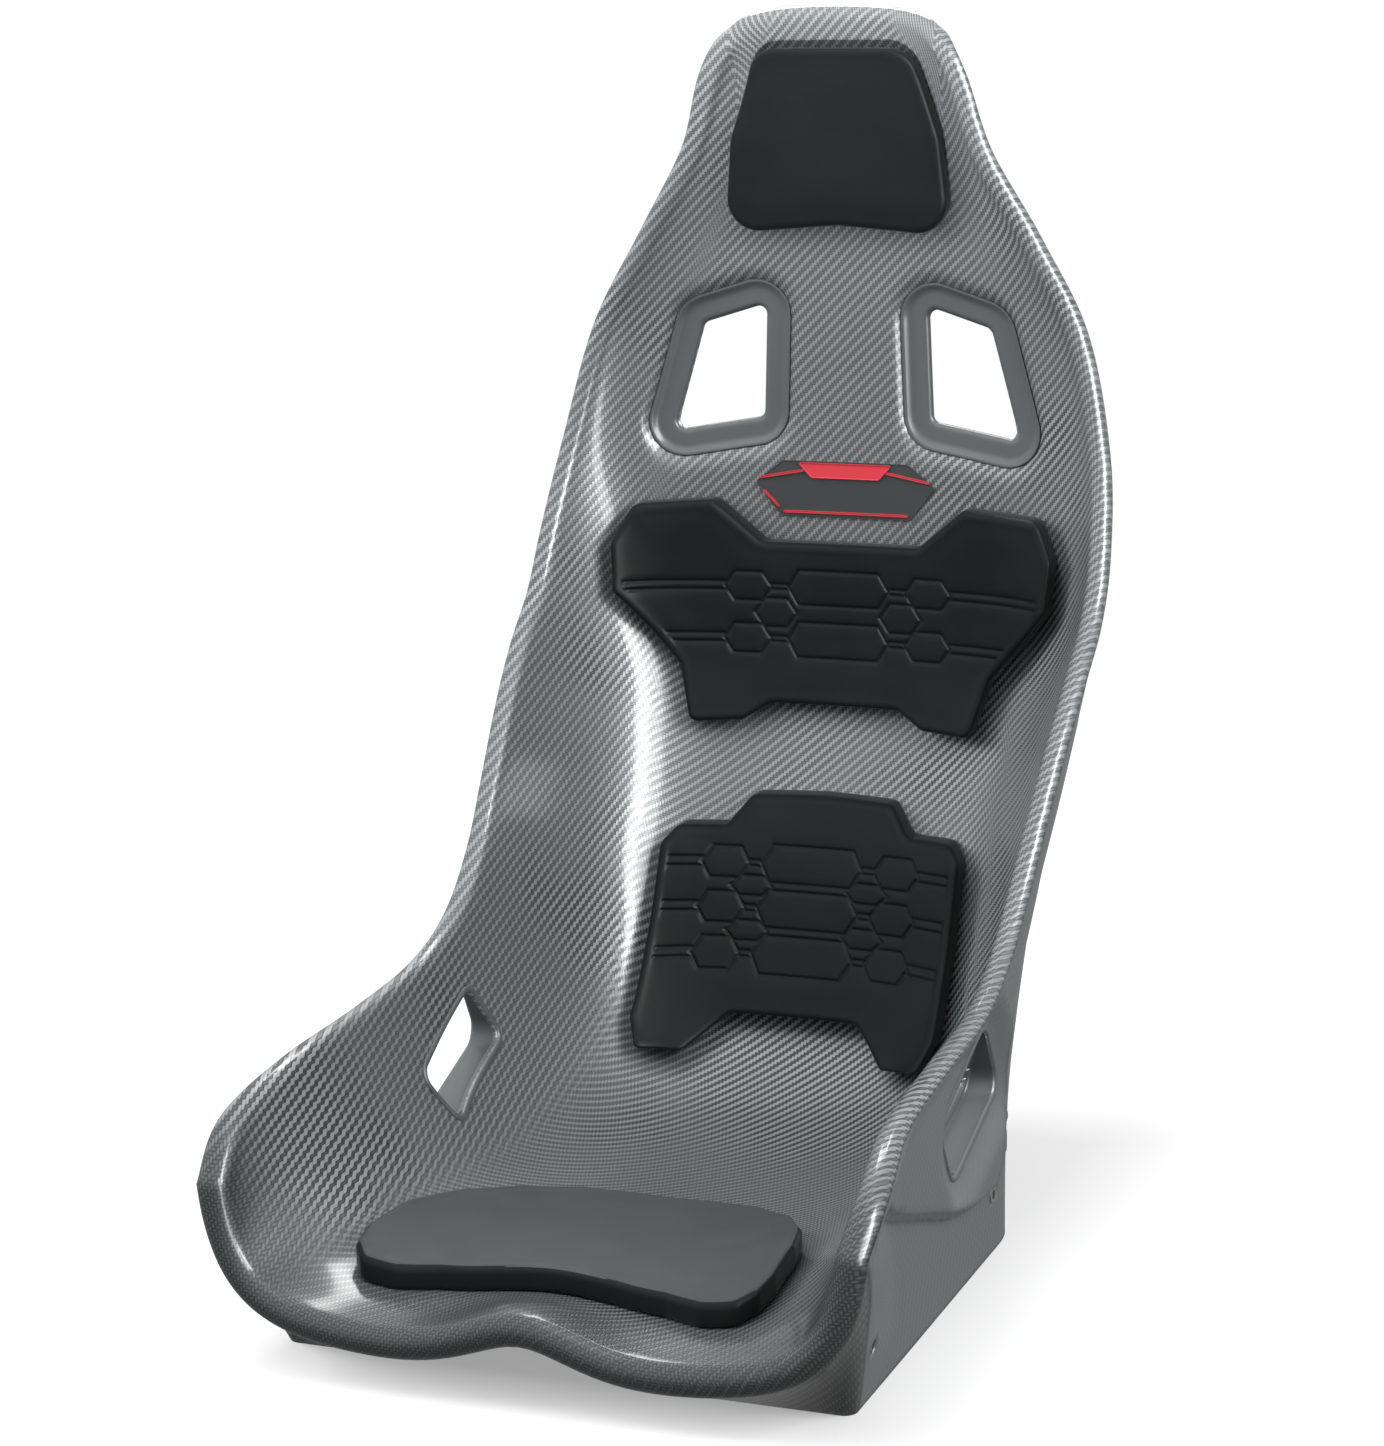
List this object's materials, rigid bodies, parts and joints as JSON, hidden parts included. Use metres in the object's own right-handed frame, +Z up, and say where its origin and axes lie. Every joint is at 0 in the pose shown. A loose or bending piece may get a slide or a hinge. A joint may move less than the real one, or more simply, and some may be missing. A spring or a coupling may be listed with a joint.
{
  "type": "racing seat",
  "caption": "Fixed-back bucket racing seat: two-skin carbon shell with head rest, belt slots, side-mount threads and removable pads.",
  "frame": {"origin": "floor level, middle of the base and of the seat's depth", "axes": "+Z up; the open front of the seat faces -Y; +X is to the right as seen from the front, which is the driver's left"},
  "size_m": [0.4638, 0.6845, 0.8502],
  "materials": {
    "carbon_inner": "clear-coated 2x2 twill carbon",
    "carbon_outer": "smooth clear-coated carbon",
    "slot_frame": "smooth moulded frame",
    "pad_fabric": "black non-slip microfibre, embossed",
    "foam": "closed-cell foam",
    "tape": "hook and loop tape",
    "mount_metal": "zinc-plated steel",
    "plate_metal": "plain aluminium plate",
    "badge_dark": "printed dark grey film",
    "badge_red": "printed red film"
  },
  "bodies": {
    "shell": {"front_skin": "carbon_inner", "rear_skin": "carbon_outer", "side_mount_plate_left": "plate_metal", "side_mount_plate_right": "plate_metal", "side_mount_inserts": "mount_metal", "shoulder_slot_frame_left": "slot_frame", "shoulder_slot_frame_right": "slot_frame", "lap_slot_frame_left": "slot_frame", "lap_slot_frame_right": "slot_frame", "badge_plate": "badge_dark", "badge_inlay": "badge_red", "head_pad_hook_tape": "tape", "shoulder_pad_hook_tape": "tape", "lumbar_pad_hook_tape": "tape", "seat_pad_hook_tape": "tape"},
    "head_pad": {"head_pad_cover": "pad_fabric", "head_pad_foam": "foam", "head_pad_loop_tape": "tape"},
    "shoulder_pad": {"shoulder_pad_cover": "pad_fabric", "shoulder_pad_foam": "foam", "shoulder_pad_loop_tape": "tape"},
    "lumbar_pad": {"lumbar_pad_cover": "pad_fabric", "lumbar_pad_foam": "foam", "lumbar_pad_loop_tape": "tape"},
    "seat_pad": {"seat_pad_cover": "pad_fabric", "seat_pad_foam": "foam", "seat_pad_loop_tape": "tape"}
  },
  "joints": [
    {"name": "head_pad_release", "type": "slide", "parent": "shell", "child": "head_pad", "axis": [0, -1, 0], "range_m": [0, 0.08]},
    {"name": "shoulder_pad_release", "type": "slide", "parent": "shell", "child": "shoulder_pad", "axis": [0, -0.995, 0.1], "range_m": [0, 0.08]},
    {"name": "lumbar_pad_release", "type": "slide", "parent": "shell", "child": "lumbar_pad", "axis": [0, -0.87, 0.493], "range_m": [0, 0.08]},
    {"name": "seat_pad_release", "type": "slide", "parent": "shell", "child": "seat_pad", "axis": [0, 0, 1], "range_m": [0, 0.08]}
  ]
}
